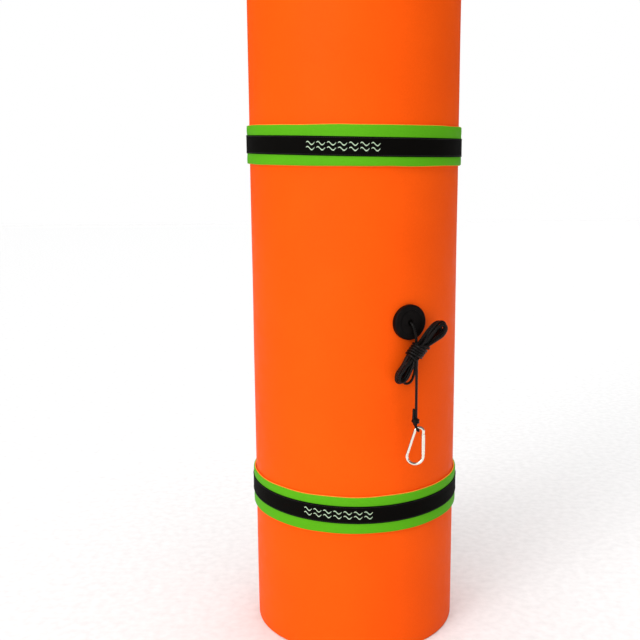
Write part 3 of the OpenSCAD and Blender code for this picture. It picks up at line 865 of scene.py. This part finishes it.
def print_piece(name, which, middle, sway):
    """A row of small pale waves printed on the webbing."""
    path = wrap_line(middle - 24, middle + 24, 1.0)
    count, pitch, length, amplitude, thick = 7, 27.0, 22.0, 3.9, 3.1
    centre = path["along"][-1] / 2
    bodies = []
    for i in range(count):
        for rise in (6.2, -6.2):
            start = centre + (i - (count - 1) / 2) * pitch - length / 2
            t = np.linspace(0, 1, 22)
            width = thick * np.sin(np.pi * (0.12 + 0.76 * t)) ** 0.5
            wave = rise + amplitude * np.sin(2 * np.pi * t + 0.5)
            rings = []
            for at, w, h in zip(start + t * length, width, wave):
                x, y, n, a = spot(path, at)
                z = STRAP_Z[which] + h + float(sway(a, 0))
                for off, side in ((-0.1, -1), (0.16, -0.9), (0.16, 0.9), (-0.1, 1)):
                    r = WEB_OUT + off
                    rings.append((x + r * n[0], y + r * n[1], z + side * w / 2))
            bodies.append(loft(np.array(rings).reshape(len(t), 4, 3), flip=True))
    return mesh_piece(name, *joined(bodies), PRINT, angle=70)


# Bearing of the middle of each strap's print
PRINT_MIDDLE = {"upper": 270 - 7.0, "lower": 270 - 10.3}
# How far each strap, and its webbing, rise above their CAD height, tilt and wave, in mm
LEVELS = {
    "upper": ((1.0, 4.2, 0.6), (-0.8, 7.2, 0.0)),
    "lower": ((0.1, 0.4, -1.0), (3.8, 1.4, -2.4)),
}


def strap_pieces(which, seed):
    """All of one strap: the fixed loop, and the loose end as pieces of their own."""
    level = LEVELS[which]
    foam_sway, web_sway = strap_sway(seed, *level[0]), webbing_sway(seed + 2, *level[1])
    fixed, loose = f"{which}_strap", f"{which}_tab"
    under_end = OVERLAP_BEARING + OVERLAP_ANGLE
    plan = [
        # part, material, from, to, sway, slot
        ("outer_ply", STRAP_GREEN, OVERLAP_BEARING, TAB_END, foam_sway, "strap_green_foam"),
        ("inner_ply", STRAP_ORANGE, OVERLAP_BEARING, TAB_END, foam_sway, "strap_orange_foam"),
        ("webbing", WEBBING, under_end, TAB_END + PULL_ANGLE, web_sway, "webbing"),
    ]
    made = []
    for part, material, start, stop, sway, slot in plan:
        a = band_piece(f"{fixed}_{part}_loop", which, start, BEND_START, SECTIONS[part], material, sway)
        b = band_piece(f"{loose}_{part}_end", which, BEND_START, stop, SECTIONS[part], material, sway)
        made += [(a, fixed, f"{fixed}_{part}", slot), (b, loose, f"{loose}_{part}", slot)]
    patches = (
        ("loop_patch", LOOPS, OVERLAP_BEARING + STRAP_STEP, under_end - STRAP_STEP, fixed),
        ("hook_patch", HOOKS, TAB_START + STRAP_STEP, TAB_END - STRAP_STEP, loose),
    )
    for part, material, start, stop, body in patches:
        piece = band_piece(f"{body}_{part}_pile", which, start, stop, SECTIONS[part], material, foam_sway)
        made.append((piece, body, f"{body}_{part}", "closure"))
    for body, start, stop in ((fixed, under_end, BEND_START), (loose, BEND_START, TAB_END + PULL_ANGLE)):
        made.append((stitch_piece(f"{body}_stitches", which, start, stop, web_sway), body, None, "webbing"))
    made.append((print_piece(f"{fixed}_waves", which, PRINT_MIDDLE[which], web_sway), fixed, None, "webbing"))
    for piece, body, node, slot in made:
        if body == loose:
            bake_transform(piece)
        else:
            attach(piece, fixed)
        if node:
            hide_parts(node)


strap_pieces("upper", 11.0)
strap_pieces("lower", 31.0)

# ---- CAD parts that keep their shape ----

KEPT = {
    "anchor_puck": RUBBER,
    "hook_body": CHROME,
    "hook_gate": CHROME,
    "gate_pin": CHROME,
    "gate_plunger": CHROME,
    "gate_spring": SPRING,
}
for node, material in KEPT.items():
    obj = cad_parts[node]
    obj.data.materials.clear()
    obj.data.materials.append(material)
    obj.data.set_sharp_from_angle(angle=math.radians(35))

# ---- Floor, world and lights ----

# In metres: half the floor's side, and how far it lies below the part
FLOOR_HALF, FLOOR_DROP = 14, 0.0004
floor_mesh = bpy.data.meshes.new("floor")
corners = [(x * FLOOR_HALF, y * FLOOR_HALF, 0) for x, y in ((-1, -1), (1, -1), (1, 1), (-1, 1))]
floor_mesh.from_pydata(corners, [], [(0, 1, 2, 3)])
floor = bpy.data.objects.new("floor", floor_mesh)
floor.location.z = -FLOOR_DROP
bpy.context.scene.collection.objects.link(floor)
floor_mesh.materials.append(plain_material("pale_floor", (0.86, 0.86, 0.86), 0.7, grain=40))

world = bpy.data.worlds.new("studio")
bpy.context.scene.world = world
world.use_nodes = True
background = world.node_tree.nodes["Background"]
background.inputs["Color"].default_value = (1, 1, 1, 1)


def world_node(kind, settings, **options):
    """A new node of the world, with its inputs set or linked. Returns its outputs."""
    n = world.node_tree.nodes.new("ShaderNode" + kind)
    for key, value in options.items():
        setattr(n, key, value)
    for key, value in settings.items():
        if isinstance(value, bpy.types.NodeSocket):
            world.node_tree.links.new(value, n.inputs[key])
        else:
            n.inputs[key].default_value = value
    return n.outputs


# A soft box in front on the left, dim surroundings for it to stand out from, a white backdrop
BOX_WAY = Vector((-0.52, -0.76, 0.38)).normalized()
way = world_node("TexCoord", {})["Generated"]
facing = world_node("VectorMath", {0: way, 1: BOX_WAY}, operation="DOT_PRODUCT")["Value"]
box_range = {"From Min": 0.80, "From Max": 0.92, "To Min": 0.16, "To Max": 1.9}
studio = world_node("MapRange", {"Value": facing, **box_range})
seen = world_node("LightPath", {})["Is Camera Ray"]
level = world_node("MapRange", {"Value": seen, "To Min": studio[0], "To Max": 1.0})
world.node_tree.links.new(level[0], background.inputs["Strength"])


def sun(name, azimuth, elevation, angle, strength, shines=True):
    """A broad even light that comes from that side; azimuth 0 is in front, 90 on the right."""
    light = bpy.data.lights.new(name, "SUN")
    light.energy, light.angle = strength, math.radians(angle)
    a, e = math.radians(azimuth), math.radians(elevation)
    obj = bpy.data.objects.new(name, light)
    obj.rotation_mode = "QUATERNION"
    source = Vector((math.sin(a) * math.cos(e), -math.cos(a) * math.cos(e), math.sin(e)))
    obj.rotation_quaternion = source.to_track_quat("Z", "Y")
    obj.visible_glossy = shines
    bpy.context.scene.collection.objects.link(obj)


sun("key", -42, 26, 24, 0.95)
sun("fill", 30, 12, 50, 0.35, shines=False)
sun("top", 0, 86, 70, 2.4, shines=False)
sun("rim", 160, 35, 50, 0.7, shines=False)
bpy.context.scene.view_settings.view_transform = "Standard"
